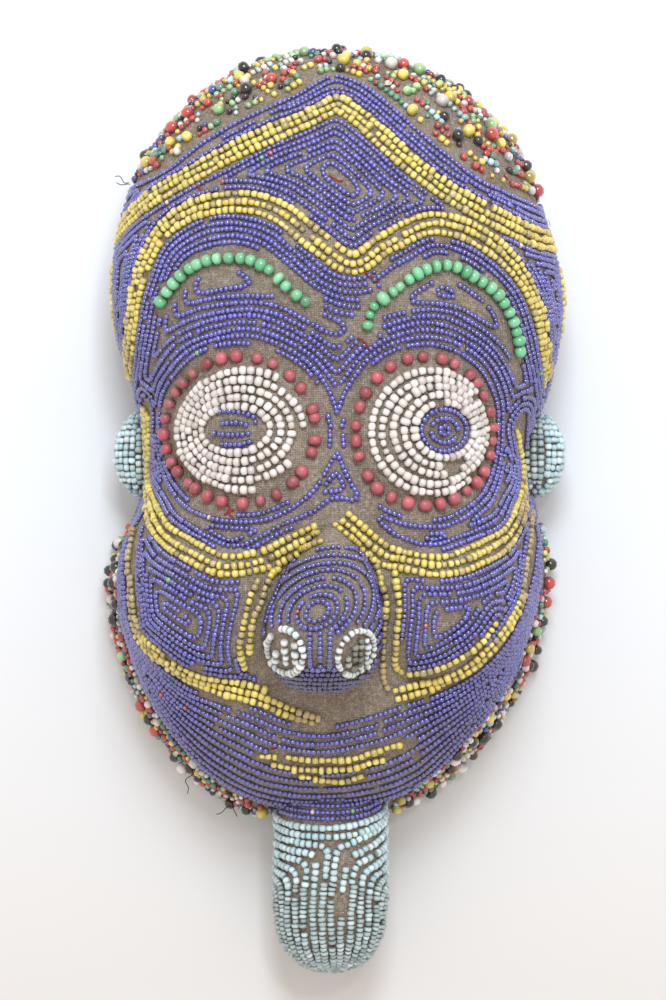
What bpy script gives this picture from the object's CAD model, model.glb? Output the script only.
"""Beaded mask lying face up: a carved wooden face covered with cloth and sewn with glass beads.

Every surface is a formula over whole numpy arrays, in millimetres, with the top of the head along +Y and
the face along +Z. Charts map positions on a unit disc or on a strip to points of the carving, and rows of
beads are laid on those charts.
"""

import math

import bpy
import numpy as np
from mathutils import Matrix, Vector


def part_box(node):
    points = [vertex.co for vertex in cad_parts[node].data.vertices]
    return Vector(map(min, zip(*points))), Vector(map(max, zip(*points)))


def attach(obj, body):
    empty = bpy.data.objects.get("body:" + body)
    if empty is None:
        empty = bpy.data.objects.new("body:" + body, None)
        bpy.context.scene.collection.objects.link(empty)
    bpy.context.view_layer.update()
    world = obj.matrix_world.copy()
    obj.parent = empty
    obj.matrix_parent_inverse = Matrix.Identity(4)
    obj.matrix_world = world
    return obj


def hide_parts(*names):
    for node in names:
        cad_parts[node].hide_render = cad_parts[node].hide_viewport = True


bl_info = {
    "name": "Beaded Mask",
    "version": (1, 0, 0),
    "blender": (4, 5, 0),
    "location": "3D View > Sidebar > Mask",
    "description": "Builds a cloth-covered, bead-sewn wooden mask and its stage",
    "category": "Add Mesh",
}

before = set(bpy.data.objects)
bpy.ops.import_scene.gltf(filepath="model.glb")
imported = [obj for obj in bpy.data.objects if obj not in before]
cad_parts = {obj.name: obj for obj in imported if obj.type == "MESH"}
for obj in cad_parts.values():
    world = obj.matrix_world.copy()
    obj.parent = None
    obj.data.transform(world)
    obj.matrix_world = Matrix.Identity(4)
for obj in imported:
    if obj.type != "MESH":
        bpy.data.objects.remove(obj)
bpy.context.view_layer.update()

# Where the drawing's own axes meet the frame's, in millimetres
CLOTH_TOP_Y = 206.0
BEARD_X = -1.0
SHIFT = np.array([
    1000 * (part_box("beard_beads")[0].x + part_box("beard_beads")[1].x) / 2 - BEARD_X,
    1000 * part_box("cloth_cover")[1].y - CLOTH_TOP_Y,
    0.0,
])

# Sizes of the carving
SIDE_HEIGHT = 28.0
FACE_DEPTH = 88.0
FOREHEAD_RISE = 5.0
EYE_HOLLOW = 9.0
LIP_HOLLOW = 7.0
CHEEK_HEIGHT = 13.0
EYE_HEIGHT = 9.0
JAW_ROLL = 4.0
NOSE_HEIGHT = 38.0
JAW_LEAN = 9.0
ROUND = 2.4
DOME = 2.1
FRONT_SHARE = 0.84
RIM_WIDTH = 15.0
FRONT_WALL = 26.0
CLOTH_EDGE = 3.0
CLOTH_THICKNESS = 1.5
HEART = np.array([0.0, 35.0])
OUTLINE = [
    (-4, 206), (44, 196), (80, 165), (98, 121), (103, 89), (97, 55), (88, 28), (92, 1), (99, -24),
    (96, -56), (84, -88), (60, -119), (26, -141), (-24, -144), (-60, -128), (-89, -91), (-102, -53),
    (-101, -26), (-89, 0), (-85, 26), (-89, 51), (-98, 84), (-97, 121), (-83, 160), (-50, 193),
]
CHEEKS = [(-57.0, -44.0, -0.2), (54.0, -44.0, 0.2)]
EYE_DOMES = [(-39.7, 33.0), (38.5, 33.0)]
NOSE_X, NOSE_Y = -4.5, -54.0
NOSE_HALF_WIDTH = 24.5
NOSE_ABOVE = 47.0
NOSE_BELOW = 25.0
NOSE_SLANT = 5.0
# The nose's outline is |u|^NOSE_ACROSS + |v|^NOSE_ALONG = 1; then its edge, its narrowing and its drop
NOSE_ACROSS, NOSE_ALONG = 2.3, 2.2
NOSE_EDGE = 0.6
NOSE_TAPER = 0.5
NOSE_DROP = 0.22
# Middle and radii of the forehead's swell, of the hollow at the eyes and of the hollow over the lip
FOREHEAD = (0, 118, 75, 45)
EYE_LEVEL = (0, 34, 95, 32)
LIP = (0, -110, 60, 24)
# Radii, squareness and edge of each cheek and of each eye's dome
CHEEK_SHAPE = (35, 31, 2.4, 0.9)
EYE_SHAPE = (31, 31, 2, 0.8)
# Radii of the oval on which the jaw's roll lies
JAW_OVAL = (82, 98)
EARS = {"left": (-86.0, 24.0), "right": (92.0, 24.0)}
EAR_REACH = 11.5
EAR_HALF_HEIGHT = 17.5
EAR_HALF_DEPTH = 14.0
EAR_UP = 28.0
CHIN_Y = -144.0
BEARD_LENGTH = 65.0
BEARD_RADIUS = 23.8
BEARD_HALF_DEPTH = 24.5
BEARD_UP = 29.0
BEARD_CAP = 26.0
# Length of the strip that goes over the beard's end, and where on the strip the tip is
BEARD_BEND = BEARD_CAP * 1.25
BEARD_END = BEARD_LENGTH - BEARD_CAP + BEARD_BEND

# Lines of the beadwork, along the middle of each band
CROWN_LINE = [
    (-98, 121), (-83, 133), (-60, 145), (-34, 158), (-14, 167), (-3, 172.5), (2, 175), (7, 171.5),
    (14, 166), (34, 147), (52, 134), (71, 125), (87, 119), (101, 119),
]
BROW_LINE = [
    (-92, 58), (-88, 79), (-84, 99), (-75, 118), (-60, 128), (-40, 131), (-23, 126), (-9, 115),
    (8, 103.5), (22, 112), (40, 121), (56, 119), (71, 111), (82, 100), (89, 86), (93, 70), (95, 57),
]
LEFT_LOOP = [(-100, 112), (-101, 102), (-100, 90), (-98, 80)]
RIGHT_LOOP = [(103, 110), (106, 97), (106, 85), (103, 74)]
LEFT_CHEEK = [
    (-82, 43), (-82, 27), (-82, 13), (-80, 1), (-74, -10), (-63, -18), (-47, -25), (-31, -23),
    (-20, -18), (-11, -13.5), (-5, -11),
]
RIGHT_CHEEK = [
    (82, 37), (84, 21), (84, 8), (81, -4), (75, -13), (63, -20), (47, -25), (31, -23), (20, -19),
    (10, -11), (3, -5),
]
LEFT_NOSE_STRANDS = [
    [(-31.5, -30.6), (-34.7, -37.8), (-37.3, -48.8), (-39.6, -58.4), (-39.1, -63.3), (-37.6, -69.0)],
    [(-21.6, -25.7), (-25.9, -28.1), (-29.6, -34.8), (-31.0, -40.2), (-33.8, -45.2), (-35.8, -55.5),
     (-36.0, -62.3)],
]
RIGHT_NOSE_STRANDS = [
    [(15.0, -18.5), (18.0, -23.0), (21.3, -32.8), (23.2, -38.5), (22.9, -49.0), (22.2, -61.7),
     (21.8, -72.2), (24.0, -78.5)],
    [(26.5, -27.3), (27.2, -32.7), (28.2, -40.1), (27.7, -49.8), (27.0, -62.5), (27.4, -68.5),
     (30.5, -71.3)],
]
LEFT_JAW = [
    (-86, -8), (-88, -22), (-87, -41), (-84, -56), (-74, -65), (-62, -73), (-48, -77), (-32, -81),
    (-18, -87), (-5, -91),
]
RIGHT_JAW = [(89, -4), (87, -15), (83, -34), (79, -45), (71, -57), (58, -69), (43, -76), (26, -81)]
JAW_BRANCH = [(70, -49), (62, -59), (50, -67), (40, -70), (32, -71)]
MOUTH_STRANDS = [
    [(-32.3, -108.5), (-22.5, -108.6), (-14.4, -109.7), (-6.2, -110.4), (8.1, -109.7), (16.2, -106.9),
     (25.4, -104.1), (33.1, -102.2)],
    [(-27.2, -111.8), (-20.6, -113.5), (-9.3, -114.6), (4.0, -114.4), (11.2, -113.3), (16.3, -111.4),
     (22.9, -109.6)],
    [(-15.0, -117.6), (-6.3, -119.2), (-0.1, -120.1), (6.1, -119.6), (13.3, -117.2)],
]
LEFT_BROW = [
    (-74, 87), (-69, 94), (-62, 101), (-54, 105), (-45, 106), (-35, 105), (-26, 100), (-19, 93),
    (-10, 86),
]
RIGHT_BROW = [
    (14, 75), (17, 85), (26, 92), (37, 100), (49, 103), (60, 98), (70, 91), (77, 79), (80, 66),
]
HAIR_LINE = [
    (-90, 146), (-72, 151), (-59, 161), (-47, 168), (-32, 176), (-18, 182), (-8, 189), (1, 192),
    (11, 189), (19, 184), (32, 172), (45, 160), (61, 147), (75, 141), (92, 137),
]
LEFT_EDGE = [
    (-91, -8), (-95, -24), (-96, -42), (-94, -60), (-89, -76), (-79, -94), (-68, -109), (-55, -122),
    (-42, -131), (-30, -138),
]
RIGHT_EDGE = [
    (94, -6), (96, -22), (94, -38), (90, -54), (85, -66), (77, -82), (68, -94), (56, -108), (44, -121),
    (33, -130), (26, -135),
]
JAW_TOP = [
    (-86, -8), (-88, -22), (-87, -41), (-84, -56), (-74, -65), (-62, -73), (-48, -77), (-32, -81),
    (-18, -87), (-5, -89), (10, -86), (26, -81), (43, -76), (58, -69), (71, -57), (79, -45), (83, -34),
    (87, -15), (89, -4),
]
CHIN_EDGE = [(-30, -138), (-15, -141), (-1, -141.5), (13, -139.5), (26, -135)]
# Middle and radii of each eye's ring of red beads
LEFT_RING = (-39.9, 33.4, 32.6, 30.5)
RIGHT_RING = (39.1, 32.1, 28.6, 31.4)
# Innermost and outermost oval of white beads, and the stretches without beads: row, from and to in degrees
LEFT_WHITE = (
    (-41.3, 33.4, 14.5, 10.1), (-37.6, 32.7, 28.9, 25.1), ((3, -38, 2), (4, -80, 60)),
)
RIGHT_WHITE = (
    (47.2, 33.0, 12.6, 11.9), (41.9, 32.4, 25.0, 25.6), ((1, -90, -52), (2, -80, -60), (4, -50, 40)),
)
PUPIL_ROWS = [
    [(-52.5, 40.2), (-43.0, 41.0), (-34.5, 39.2), (-32.6, 35.6)],
    [(-47.6, 35.8), (-41.0, 36.4), (-35.8, 35.2)],
    [(-51.0, 31.8), (-43.0, 31.0), (-35.0, 31.6)],
    [(-48.0, 27.4), (-41.0, 26.6), (-34.5, 28.2)],
]
# Middle and radii of the right pupil and of the nostrils
RIGHT_PUPIL = (47.2, 33.0, 10.4, 9.6)
LEFT_NOSTRIL = (-19.4, -59.8, 8.6, 10.2)
RIGHT_NOSTRIL = (9.2, -60.6, 8.2, 10.2)
# Columns of beads inside each nostril: offset across, lowest and highest offset
LEFT_COLUMNS = ((3.8, -5.0, 5.0), (0.0, -5.6, 5.4), (-3.8, -5.0, 0.4))
RIGHT_COLUMNS = ((4.2, -4.6, 6.4), (1.6, -6.8, 6.6), (-1.0, -6.9, 3.6), (-3.4, -5.4, -1.0))
# Below this the nose's beads lie under its tip, and this share of their colour is left
UNDER_TIP = -69.5
TIP_DARK = 0.5
# Rows below the jaw bands: how many, their least spacing, and how much slopes count
JAW_ROWS = 12
JAW_ROW = 3.6
JAW_SLOPE = 0.28
# Bare cloth: over the lip in the plan, and on the beard from its middle and its top
BARE_LIP = (-2.0, -65.0, 33.0, 24.0)
BARE_BEARD = (
    (-0.8, 6.5, 2.3, 2.2), (8.0, 13.5, 2.2, 5.5), (-5.0, 13.0, 1.5, 2.5), (5.0, 34.0, 1.2, 6.0),
)
# Middle and turn of the ovals on the nose's back
NOSE_OVAL = (-6.3, -43.0, 0.55)
# Loose threads: start, angle, length, and how high each arches or, below 0, how far it droops
THREADS = {
    "red": [
        (0.9, 183.0, -0.6, 7.0, 1.2), (-1.5, 142.6, -0.5, 6.5, 1.4), (13.0, 100.2, -0.5, 8.0, 1.5),
        (10.5, 72.5, -0.7, 8.0, 1.6), (-45.0, 2.0, -1.4, 7.0, 1.0), (-47.0, -2.0, 0.3, 5.0, 1.2),
        (-60.5, 140.2, -0.6, 7.0, 1.4), (-10.5, -38.5, -0.5, 4.5, 1.0), (92.0, 112.0, -1.5, 6.0, 1.0),
        (-12.5, -42.0, -1.4, 4.0, 1.0), (-27.0, -106.0, 0.3, 3.0, 0.8),
    ],
    "dark": [
        (-92.5, 146.0, 2.6, 7.0, 0.8), (-92.0, 147.0, 3.4, 6.0, -1.0),
        (-63.0, -118.0, -1.75, 14.0, -16.0), (-47.0, -134.5, -2.3, 8.0, -6.0),
        (-46.0, -134.5, -1.2, 7.0, -8.0), (48.0, -124.0, -2.0, 10.0, -10.0),
    ],
    "white": [(93.0, 134.0, -0.9, 9.0, 2.0), (-34.0, 176.0, 1.3, 5.0, 2.0), (22.0, 186.0, 0.4, 6.0, 2.2)],
}
ODD_BEADS = [
    (-70.7, -31.1, (0.10, 0.42, 0.20)), (39.6, -51.3, (0.45, 0.03, 0.07)),
    (-53.0, -3.0, (0.62, 0.58, 0.55)), (-14.2, -43.6, (0.42, 0.03, 0.06)),
    (-65.4, 40.0, (0.50, 0.38, 0.16)), (-47.8, 138.9, (0.40, 0.03, 0.05)),
]
# Ellipses in which the yellow beads have faded: middle and radii
FADED = [
    (-86, -30, 7, 26), (86, -22, 7, 30), (-30, -40, 4, 12), (20, -62, 5, 20), (-6, -92, 14, 6),
    (-12, 118, 12, 4),
]
# Colours of the loose threads, and their radii in millimetres
THREAD_KINDS = (
    ("red", (0.34, 0.015, 0.03), 0.32),
    ("dark", (0.02, 0.017, 0.015), 0.2),
    ("white", (0.7, 0.66, 0.6), 0.25),
)
# Shares of the colours of the hair and fringes, for the small beads and for the large ones
HAIR_SHARES = (
    ("hair_red", 0.26, 0.12), ("hair_yellow", 0.14, 0.26), ("hair_white", 0.20, 0.18),
    ("hair_black", 0.09, 0.38), ("hair_green", 0.08, 0.0), ("hair_pale_green", 0.08, 0.06),
    ("hair_pale_blue", 0.11, 0.0), ("hair_blue", 0.05, 0.0),
)


# Curves

def polar(xy):
    """Distance from the middle and angle of plane positions."""
    return np.hypot(xy[..., 0], xy[..., 1]), np.arctan2(xy[..., 1], xy[..., 0])


def at_angle(reach, angle):
    """Plane positions at a distance and an angle."""
    return np.stack([reach * np.cos(angle), reach * np.sin(angle)], -1)


def line_length(place):
    """Length of a line through these places."""
    return np.linalg.norm(np.diff(place, axis=0), axis=1).sum()


def distances(place):
    """Distance along a line at each of its places."""
    return np.concatenate([[0.0], np.cumsum(np.linalg.norm(np.diff(place, axis=0), axis=1))])


def spline(points, closed=False, steps=24):
    """Plan points of a Catmull-Rom curve through the given ones, with this many to each span."""
    p = np.asarray(points, float)
    if closed:
        before, here, after, later = np.roll(p, 1, 0), p, np.roll(p, -1, 0), np.roll(p, -2, 0)
    else:
        long = np.vstack([2 * p[0] - p[1], p, 2 * p[-1] - p[-2]])
        before, here, after, later = long[:-3], long[1:-2], long[2:-1], long[3:]
    before, here, after, later = (q[:, None, :] for q in (before, here, after, later))
    t = (np.arange(steps) / steps)[None, :, None]
    square = 2 * before - 5 * here + 4 * after - later
    cube = 3 * here - before - 3 * after + later
    curve = 0.5 * (2 * here + (after - before) * t + square * t**2 + cube * t**3)
    curve = curve.reshape(-1, 2)
    return curve if closed else np.vstack([curve, p[-1:]])


def ellipse(x, y, rx, ry, start=0.0, end=2 * math.pi, count=96):
    """Plan points of an ellipse, or of the part of it between two angles."""
    a = np.linspace(start, end, count)
    return np.stack([x + rx * np.cos(a), y + ry * np.sin(a)], -1)


RIM_REACH, RIM_ANGLE = polar(spline(OUTLINE, closed=True, steps=16) - HEART)
RIM_ORDER = np.argsort(RIM_ANGLE)


def outline_reach(angle):
    """How far the carving reaches from its heart at each angle."""
    return np.interp(angle, RIM_ANGLE[RIM_ORDER], RIM_REACH[RIM_ORDER], period=2 * math.pi)


def jaw_lean(angle):
    """How far the jaw's side wall spreads towards the rim at each angle."""
    return JAW_LEAN * np.clip(-1.5 * np.sin(angle) - 0.1, 0, 1)


# Form

def swell(x, y, cx, cy, rx, ry):
    """Bell: e to the minus the squared distance from the centre in units of the radii."""
    return np.exp(-(((x - cx) / rx) ** 2) - ((y - cy) / ry) ** 2)


def bump(x, y, cx, cy, rx, ry, square, edge, turn=0.0):
    """Turned superellipse: (1 - |u|^square - |v|^square)^edge, and 0 outside."""
    u = ((x - cx) * math.cos(turn) + (y - cy) * math.sin(turn)) / rx
    v = ((y - cy) * math.cos(turn) - (x - cx) * math.sin(turn)) / ry
    return np.maximum(1 - np.abs(u) ** square - np.abs(v) ** square, 0) ** edge


def head_height(x, y, rho):
    """Height of the face without its nose.

    A dome, (1 - rho^ROUND)^(1/DOME), raised at the forehead, hollowed at the eyes and the lip, with two
    cheeks, two eye domes and a roll along the jaw added.
    """
    arch = np.maximum(1 - rho**ROUND, 0) ** (1 / DOME)
    depth = FACE_DEPTH + FOREHEAD_RISE * swell(x, y, *FOREHEAD)
    depth = depth - EYE_HOLLOW * swell(x, y, *EYE_LEVEL) - LIP_HOLLOW * swell(x, y, *LIP)
    fade = np.minimum(1, arch * 3)
    z = SIDE_HEIGHT + arch * depth
    for cx, cy, turn in CHEEKS:
        z = z + CHEEK_HEIGHT * fade * bump(x, y, cx, cy, *CHEEK_SHAPE, turn)
    for cx, cy in EYE_DOMES:
        z = z + EYE_HEIGHT * bump(x, y, cx, cy, *EYE_SHAPE)
    ring = (np.hypot(x / JAW_OVAL[0], (y + 10) / JAW_OVAL[1]) - 1) * 6
    return z + JAW_ROLL * fade * np.exp(-(ring**2)) * np.clip((-y - 10) / 40, 0, 1)


def head(uv):
    """Chart of the head: the disc out to FRONT_SHARE is the face, and the ring beyond it the side wall."""
    t, angle = polar(uv)
    lean = jaw_lean(angle)
    rho = np.sin(np.minimum(t / FRONT_SHARE, 1) * math.pi / 2) ** (2 / ROUND)
    down = np.clip((t - FRONT_SHARE) / (1 - FRONT_SHARE), 0, None)
    reach = rho * (outline_reach(angle) - lean) + lean * np.sin(np.minimum(down, 1) * math.pi / 2)
    x = HEART[0] + reach * np.cos(angle)
    y = HEART[1] + reach * np.sin(angle)
    z = np.where(down > 0, SIDE_HEIGHT * (1 - down), head_height(x, y, rho))
    return np.stack([x, y, z], -1)


def face_share(xy):
    """How far out plan points lie, from 0 at the heart to 1 at the face's edge, and their angles."""
    reach, angle = polar(xy - HEART)
    return reach / (outline_reach(angle) - jaw_lean(angle)), angle


def on_head(xy):
    """Disc position of a plan point."""
    rho, angle = face_share(np.asarray(xy, float)[..., :2])
    return at_angle(FRONT_SHARE * 2 * np.arcsin(np.minimum(rho, 0.995) ** (ROUND / 2)) / math.pi, angle)


def nose_half_width(rise):
    """Half the nose's width, where rise goes from 0 at its widest to 1 at its upper end."""
    return NOSE_HALF_WIDTH * (1 - NOSE_TAPER * rise**1.6)


def nose_place(u, v):
    """Plan point of a nose position, where u runs across and v up, each from -1 to 1."""
    rise = np.maximum(v, 0)
    x = NOSE_X + NOSE_SLANT * rise + u * nose_half_width(rise)
    return x, NOSE_Y + v * np.where(v > 0, NOSE_ABOVE, NOSE_BELOW)


def nose_inside(x, y):
    """Nose position of a plan point, and how far inside the nose it is."""
    v = (y - NOSE_Y) / np.where(y > NOSE_Y, NOSE_ABOVE, NOSE_BELOW)
    rise = np.clip(v, 0, 1)
    u = (x - NOSE_X - NOSE_SLANT * rise) / nose_half_width(rise)
    return u, v, nose_depth(u, v)


def nose_depth(u, v):
    """How far inside the nose a position is: 1 - |u|^2.3 - |v|^2.2, which is above 0 inside."""
    return 1 - np.abs(u) ** NOSE_ACROSS - np.abs(v) ** NOSE_ALONG


def nose_lift(inside, v):
    """How far the nose stands out: the depth inside it to the power NOSE_EDGE, less towards its upper end."""
    return NOSE_HEIGHT * np.maximum(inside, 0) ** NOSE_EDGE * (1 - NOSE_DROP * np.clip(v, 0, 1))


def nose_square(angle):
    """Reach of the nose's outline at each angle, in units of u and v."""
    across, up = np.abs(np.cos(angle)) ** NOSE_ACROSS, np.abs(np.sin(angle)) ** NOSE_ALONG
    return (across + up) ** (-2 / (NOSE_ACROSS + NOSE_ALONG))


def nose(uv):
    """Chart of the nose: an egg, narrow between the eyes and round over the lip.

    Beyond 1 it sinks into the face.
    """
    t, angle = polar(uv)
    part = np.sin(np.minimum(t, 1) * math.pi / 2) * nose_square(angle)
    u, v = part * np.cos(angle), part * np.sin(angle)
    x, y = nose_place(u, v)
    rho, _ = face_share(np.stack([x, y], -1))
    z = head_height(x, y, np.minimum(rho, 1)) + nose_lift(nose_depth(u, v), v) - 40 * np.maximum(t - 1, 0)
    return np.stack([x, y, z], -1)


def face(uv):
    """Chart of the head with the nose on it, for what runs over the nose's upper end."""
    place = head(uv)
    _, v, inside = nose_inside(place[..., 0], place[..., 1])
    place[..., 2] += nose_lift(inside, v)
    return place


def on_nose(xy):
    """Disc position, on the nose's chart, of a plan point."""
    u, v, _ = nose_inside(xy[..., 0], xy[..., 1])
    angle = np.arctan2(v, u)
    return at_angle(np.arcsin(np.minimum(np.hypot(u, v) / nose_square(angle), 1)) * 2 / math.pi, angle)


def ear(side):
    """Chart of an ear, an ellipsoid: u is the longitude from outward, v the angle from the top."""
    cx, cy = EARS[side]
    out = 1 if side == "right" else -1

    def chart(uv):
        x = cx + out * EAR_REACH * np.sin(uv[..., 1]) * np.cos(uv[..., 0])
        y = cy + EAR_HALF_HEIGHT * np.cos(uv[..., 1])
        z = EAR_UP + out * EAR_HALF_DEPTH * np.sin(uv[..., 1]) * np.sin(uv[..., 0])
        return np.stack([x, y, z], -1)

    return chart


def beard(uv):
    """Chart of the beard: u is the angle from the front towards +X, v millimetres along it from the chin.

    A straight column, then an end whose radius falls as cos^0.8.
    """
    straight = BEARD_LENGTH - BEARD_CAP
    over = np.maximum(uv[..., 1] - straight, 0) / BEARD_BEND
    bend = np.minimum(over, 1) * math.pi / 2
    thin = np.maximum(np.cos(bend), 0) ** 0.8
    y = CHIN_Y - np.minimum(uv[..., 1], straight) - BEARD_CAP * np.sin(bend)
    x = BEARD_X + BEARD_RADIUS * thin * np.sin(uv[..., 0])
    z = BEARD_UP + BEARD_HALF_DEPTH * thin * np.cos(uv[..., 0])
    return np.stack([x, y, z], -1)


def unit(v):
    """Vectors of length 1."""
    return v / np.maximum(np.linalg.norm(v, axis=-1, keepdims=True), 1e-9)


def touching(chart, uv, e=0.003):
    """Place on a chart, its outward direction and its two tangents, by central differences."""
    du = (chart(uv + [e, 0]) - chart(uv - [e, 0])) / (2 * e)
    dv = (chart(uv + [0, e]) - chart(uv - [0, e])) / (2 * e)
    return chart(uv), unit(np.cross(du, dv)), du, dv


def carried(chart, uv, shift):
    """Chart positions whose places are moved by the 3-D shift, as far as that lies along the surface."""
    for _ in range(2):
        _, _, du, dv = touching(chart, uv)
        aa, ab, bb = (du * du).sum(-1), (du * dv).sum(-1), (dv * dv).sum(-1)
        ra, rb = (du * shift).sum(-1), (dv * shift).sum(-1)
        det = np.maximum(aa * bb - ab * ab, 1e-9)
        uv = uv + 0.5 * np.stack([(ra * bb - rb * ab) / det, (rb * aa - ra * ab) / det], -1)
    return uv


# Beads

def directions(place, up, closed):
    """Thread direction and side direction at each bead of one string."""
    if closed:
        along = np.roll(place, -1, 0) - np.roll(place, 1, 0)
    else:
        along = np.gradient(place, axis=0)
    along = unit(along - (along * up).sum(-1, keepdims=True) * up)
    return along, np.cross(up, along)


def string(chart, uv, step, rng, closed=False, wobble=0.0, jitter=0.05):
    """Beads threaded along a chart's line, this far apart: place, thread direction and outward direction."""
    length = distances(chart(uv))
    count = int(round(length[-1] / step))
    if count < 2:
        return None
    at = (np.arange(count) + 0.5 + rng.normal(0, jitter, count)) * length[-1] / count
    uv_at = np.stack([np.interp(at, length, uv[:, 0]), np.interp(at, length, uv[:, 1])], -1)
    place, up, _, _ = touching(chart, uv_at)
    along, side = directions(place, up, closed)
    if wobble:
        wave = np.convolve(rng.normal(0, 1, count + 8), np.ones(9) / 3, "valid")
        uv_at = carried(chart, uv_at, side * (wobble * wave)[:, None])
        place, up, _, _ = touching(chart, uv_at)
        along, side = directions(place, up, closed)
    return place, along, up


def picked(beads, keep):
    """Some of the beads, by a mask or an order."""
    return {k: v[keep] for k, v in beads.items()}


def strung(strings, size, length, colour, rng, spread=0.12, lift=0.8, missing=0.0, drift=0.0):
    """Beads of several strings as one set of arrays.

    Sizes vary by the spread and drift over the mask, beads stand out by the lift, and some are missing.
    """
    strings = [s for s in strings if s is not None]
    place, along, up = (np.concatenate([s[k] for s in strings]) for k in range(3))
    count = len(place)
    size = size * np.clip(rng.normal(1, spread, count), 0.7, 1.35)
    size = size * (1 + drift * np.sin(place[:, 0] / 11 + 1) * np.sin(place[:, 1] / 9))
    length = np.full(count, float(length)) * np.clip(rng.normal(1, 0.10, count), 0.75, 1.2)
    kept = rng.random(count) >= missing
    place = place + up * (size * 0.5 * lift)[:, None]
    along = unit(along + rng.normal(0, 0.07, (count, 3)))
    beads = {"place": place, "along": along, "up": up, "size": size, "length": length}
    beads["colour"] = colour(place)
    return picked(beads, kept)


def joined(*sets):
    """Several sets of beads as one."""
    return {k: np.concatenate([s[k] for s in sets]) for k in sets[0]}


def apart(beads, share=0.62):
    """Leaves out beads that would run into an earlier one, compared in blocks with all earlier beads."""
    place, size = beads["place"], beads["size"]
    keep = np.ones(len(place), bool)
    for start in range(0, len(place), 500):
        block = slice(start, min(start + 500, len(place)))
        gap = np.linalg.norm(place[block, None, :] - place[None, : block.stop, :], axis=-1)
        near = gap < share * 0.5 * (size[block, None] + size[None, : block.stop])
        rows = np.arange(block.start, block.stop)
        near &= np.arange(block.stop)[None, :] < rows[:, None]
        for i in np.nonzero(near.any(1))[0]:
            keep[rows[i]] = not (near[i] & keep[: block.stop]).any()
    return picked(beads, keep)


def between(deep, light, rng, odd=(), patch=0.35):
    """Colour rule: a mix of two shades that drifts over the mask in soft patches, with a few odd beads."""
    deep, light = np.array(deep), np.array(light)

    def rule(place):
        count = len(place)
        x, y = place[:, 0], place[:, 1]
        drift = np.sin(x / 13 + 2) * np.sin(y / 17) + np.sin((x + y) / 29)
        part = np.clip(0.5 + 0.25 * patch * drift + rng.normal(0, 0.24, count), 0, 1)[:, None]
        colour = (deep + (light - deep) * part) * np.clip(rng.normal(1, 0.08, (count, 1)), 0.7, 1.3)
        for odd_colour, chance in odd:
            colour[rng.random(count) < chance] = odd_colour
        return colour

    return rule


def assorted(rng, column):
    """Colour rule: beads picked by the shares of the hair's colours, in short runs of one colour."""
    palette = np.array([colour_of(row[0]) for row in HAIR_SHARES])
    chance = np.array([row[column] for row in HAIR_SHARES])

    def rule(place):
        count = len(place)
        pick = rng.choice(len(palette), count, p=chance / chance.sum())
        same = rng.random(count) < 0.5
        for _ in range(3):
            pick = np.where(same, np.roll(pick, 1), pick)
        return palette[pick] * np.clip(rng.normal(1, 0.15, (count, 1)), 0.6, 1.3)

    return rule


def with_odd(beads, reach=3.0):
    """The beads nearest to the odd spots take their colours."""
    for x, y, colour in ODD_BEADS:
        gap = np.hypot(beads["place"][:, 0] - x, beads["place"][:, 1] - y)
        if gap.min() < reach:
            beads["colour"][gap.argmin()] = colour
    return beads


def bead_shape(sides, profile):
    """Corners and quads of a bead of length and diameter 1, thread along x, from its (along, radius)."""
    a = (np.arange(sides) + 0.5) * 2 * math.pi / sides
    rings = [np.stack([np.full(sides, along), r * np.cos(a), r * np.sin(a)], -1) for along, r in profile]
    s = np.arange(sides)
    quads = []
    for k in range(len(profile) - 1):
        quads.append(np.stack([s, (s + 1) % sides, (s + 1) % sides + sides, s + sides], -1) + k * sides)
    fan = np.array([(0, k, k + 1, k + 2) for k in range(1, sides - 1, 2)])
    last = (len(profile) - 1) * sides
    quads += [fan[:, ::-1], fan + last]
    return np.concatenate(rings), np.concatenate(quads)


SEED = bead_shape(6, [(-0.5, 0.30), (-0.18, 0.49), (0.18, 0.49), (0.5, 0.30)])
DRUM = bead_shape(8, [(-0.5, 0.27), (-0.36, 0.45), (0.0, 0.52), (0.36, 0.45), (0.5, 0.27)])
ROUND_BEAD = bead_shape(
    10, [(-0.5, 0.14), (-0.43, 0.30), (-0.2, 0.47), (0.2, 0.47), (0.43, 0.30), (0.5, 0.14)])


def bead_mesh(beads, shape):
    """Corners, quads, colours and grime of many beads: the shape stretched along each thread."""
    corners, quads = shape
    side = np.cross(beads["up"], beads["along"])
    up = np.cross(beads["along"], side)
    place = beads["place"][:, None, :]
    place = place + corners[None, :, :1] * (beads["along"] * beads["length"][:, None])[:, None, :]
    place = place + corners[None, :, 1:2] * (side * beads["size"][:, None])[:, None, :]
    place = place + corners[None, :, 2:3] * (up * beads["size"][:, None])[:, None, :]
    count, per = len(beads["place"]), len(corners)
    faces = quads[None] + (np.arange(count) * per)[:, None, None]
    colour = np.repeat(beads["colour"], per, axis=0)
    end = np.clip((np.abs(corners[:, 0]) - 0.3) / 0.2, 0, 1)
    low = np.clip(0.15 - corners[:, 2], 0, 0.6) / 0.6
    grime = np.tile(np.maximum(0.8 * end, low), count)
    return place.reshape(-1, 3), faces.reshape(-1, 4), colour, grime


# Rows between the accents

def square_disc(a, b):
    """Disc position of a position in the square from -1 to 1."""
    return np.stack([a * np.sqrt(1 - b * b / 2), b * np.sqrt(1 - a * a / 2)], -1)


def strip_grid(across, along):
    """Positions of a grid on a strip, each side given as its start, end and count."""
    return np.stack(np.meshgrid(np.linspace(*across), np.linspace(*along), indexing="ij"), -1)


def disc_grid(count_a, count_b, reach):
    """Disc positions of a grid that fills the disc out to this reach."""
    square = strip_grid((-1, 1, count_a), (-1, 1, count_b))
    return reach * square_disc(square[..., 0], square[..., 1])


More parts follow.
